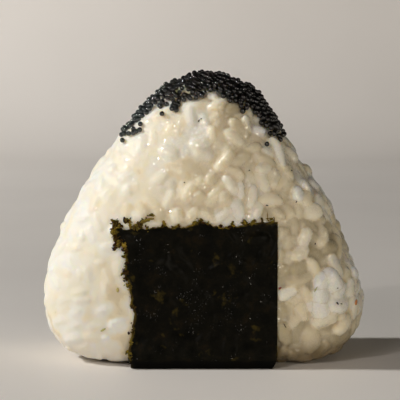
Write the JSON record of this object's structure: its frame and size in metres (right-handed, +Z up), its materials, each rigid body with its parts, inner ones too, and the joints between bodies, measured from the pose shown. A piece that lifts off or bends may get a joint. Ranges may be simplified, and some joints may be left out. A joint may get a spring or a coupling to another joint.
{
  "type": "onigiri",
  "caption": "Triangular rice ball standing on its base, wrapped in a seaweed strip and capped with black roe along its top ridge.",
  "frame": {"origin": "on the floor, under the middle of the rice ball's box", "axes": "+Z up from base to tip, -Y out of the broad front face, +X to the right seen from the front"},
  "size_m": [0.0794, 0.0412, 0.0716],
  "materials": {
    "rice": "moist cooked rice grains, creamy white and slightly see-through, glossy where wet",
    "nori": "dried seaweed, nearly black with green and brown at thin torn edges, satin with fine sparkle",
    "roe": "small glossy black fish eggs"
  },
  "bodies": {
    "root": {"rice_ball": "rice", "nori_sheet": "nori", "black_roe": "roe"}
  },
  "joints": []
}
